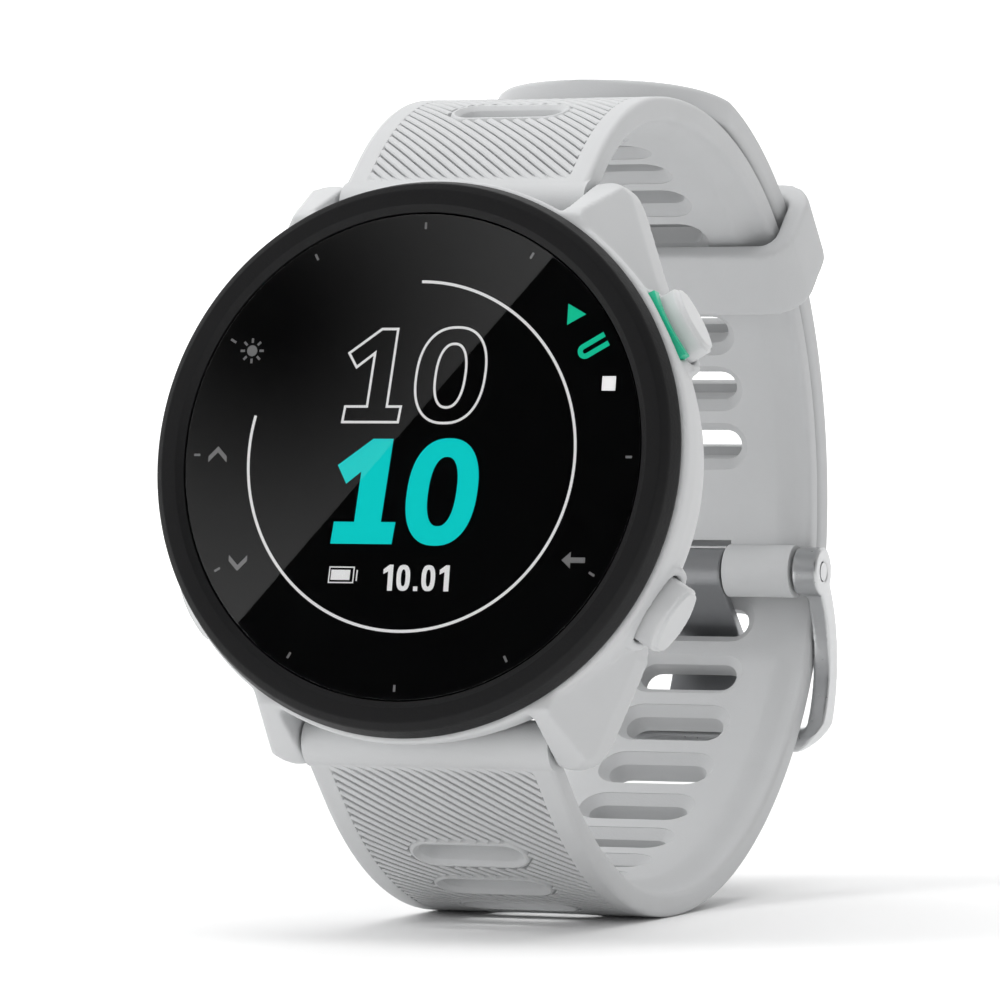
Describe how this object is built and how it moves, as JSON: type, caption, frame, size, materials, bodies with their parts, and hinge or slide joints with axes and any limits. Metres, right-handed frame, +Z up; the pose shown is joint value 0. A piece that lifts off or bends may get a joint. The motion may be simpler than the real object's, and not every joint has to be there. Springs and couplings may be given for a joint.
{
  "type": "gps running watch",
  "caption": "Round GPS running watch with side buttons, a dark colour dial in a matte black bezel and a slotted light grey silicone band, buckled shut and standing on the band.",
  "frame": {"origin": "middle of the footprint, on the surface the band stands on", "axes": "+X along the wrist towards the 3 o'clock side of the dial, +Y from the dial towards the buckle, +Z up; the dial looks towards -Y and leans back 10 degrees"},
  "size_m": [0.0436, 0.0688, 0.0654],
  "materials": {
    "case_grey": "fine matte, light grey",
    "bezel_black": "matte with a fine grain",
    "lens_glass": "clear, polished",
    "mask_black": "printed black behind the lens",
    "display": "reflective colour display",
    "clear_bond": "clear",
    "frame_black": "moulded",
    "diffuser_white": "white",
    "board_green": "solder mask",
    "flex_amber": "polyimide",
    "tin": "bright",
    "battery_foil": "foil pouch",
    "gold": "plated",
    "ceramic": "fired",
    "led_green": "clear epoxy",
    "window_black": "polished",
    "cover_grey": "moulded",
    "seal_rubber": "soft",
    "button_grey": "satin",
    "collar_green": "satin",
    "band_silicone": "matte, finely pebbled",
    "steel": "satin with polished edges"
  },
  "bodies": {
    "case": {"mid_case": "case_grey", "bezel": "bezel_black", "lens": "lens_glass", "dial_mask": "mask_black", "lens_adhesive": "seal_rubber", "optical_bond": "clear_bond", "display_panel": "display", "backlight": "diffuser_white", "display_frame": "frame_black", "display_flex": "flex_amber", "main_board": "board_green", "board_screws": "tin", "shield_cans": "tin", "gps_antenna": "ceramic", "tact_switches": "frame_black", "battery": "battery_foil", "vibration_motor": "tin", "buzzer": "gold", "sensor_board": "board_green", "sensor_leds": "led_green", "sensor_window": "window_black", "charging_contacts": "gold", "back_cover": "cover_grey", "case_gasket": "seal_rubber", "back_screws": "tin", "start_collar": "collar_green", "upper_spring_bar": "steel", "lower_spring_bar": "steel"},
    "upper_strap": {"upper_strap": "band_silicone", "buckle_pin": "steel"},
    "lower_strap": {"lower_strap": "band_silicone"},
    "keeper": {"keeper": "band_silicone"},
    "buckle_frame": {"buckle_frame": "steel"},
    "buckle_tongue": {"buckle_tongue": "steel"},
    "start_button": {"start_button": "button_grey", "start_seal": "seal_rubber", "start_clip": "tin"},
    "back_button": {"back_button": "button_grey", "back_seal": "seal_rubber", "back_clip": "tin"},
    "light_button": {"light_button": "button_grey", "light_seal": "seal_rubber", "light_clip": "tin"},
    "up_button": {"up_button": "button_grey", "up_seal": "seal_rubber", "up_clip": "tin"},
    "down_button": {"down_button": "button_grey", "down_seal": "seal_rubber", "down_clip": "tin"}
  },
  "joints": [
    {"name": "start_press", "type": "slide", "parent": "case", "child": "start_button", "axis": [-0.866, -0.0868, -0.4924], "range_m": [0, 0.0006], "stiffness_N_per_m": 4000, "springref_m": -0.0001},
    {"name": "back_press", "type": "slide", "parent": "case", "child": "back_button", "axis": [-0.866, 0.0868, 0.4924], "range_m": [0, 0.0006], "stiffness_N_per_m": 4000, "springref_m": -0.0001},
    {"name": "light_press", "type": "slide", "parent": "case", "child": "light_button", "axis": [0.866, -0.0868, -0.4924], "range_m": [0, 0.0006], "stiffness_N_per_m": 4000, "springref_m": -0.0001},
    {"name": "up_press", "type": "slide", "parent": "case", "child": "up_button", "axis": [1, 0, 0], "range_m": [0, 0.0006], "stiffness_N_per_m": 4000, "springref_m": -0.0001},
    {"name": "down_press", "type": "slide", "parent": "case", "child": "down_button", "axis": [0.866, 0.0868, 0.4924], "range_m": [0, 0.0006], "stiffness_N_per_m": 4000, "springref_m": -0.0001},
    {"name": "upper_strap_hinge", "type": "hinge", "parent": "case", "child": "upper_strap", "pos_m": [0.0005, -0.0189, 0.05491], "axis": [1, 0, 0], "range_deg": [-0.3, 0.3]},
    {"name": "lower_strap_hinge", "type": "hinge", "parent": "case", "child": "lower_strap", "pos_m": [0.0005, -0.02602, 0.01453], "axis": [1, 0, 0], "range_deg": [-0.3, 0.3]},
    {"name": "keeper_slide", "type": "hinge", "parent": "upper_strap", "child": "keeper", "pos_m": [0.0005, 0.00064, 0.03173], "axis": [1, 0, 0], "range_deg": [-28, 14]},
    {"name": "buckle_frame_hinge", "type": "hinge", "parent": "upper_strap", "child": "buckle_frame", "pos_m": [0.0005, 0.02864, 0.02603], "axis": [1, 0, 0], "range_deg": [0, 3]},
    {"name": "buckle_tongue_hinge", "type": "hinge", "parent": "buckle_frame", "child": "buckle_tongue", "pos_m": [0.0005, 0.02864, 0.02603], "axis": [1, 0, 0], "range_deg": [0, 1]}
  ],
  "couplings": [
    {"joint": "lower_strap_hinge", "follows": "upper_strap_hinge", "ratio": 1}
  ]
}
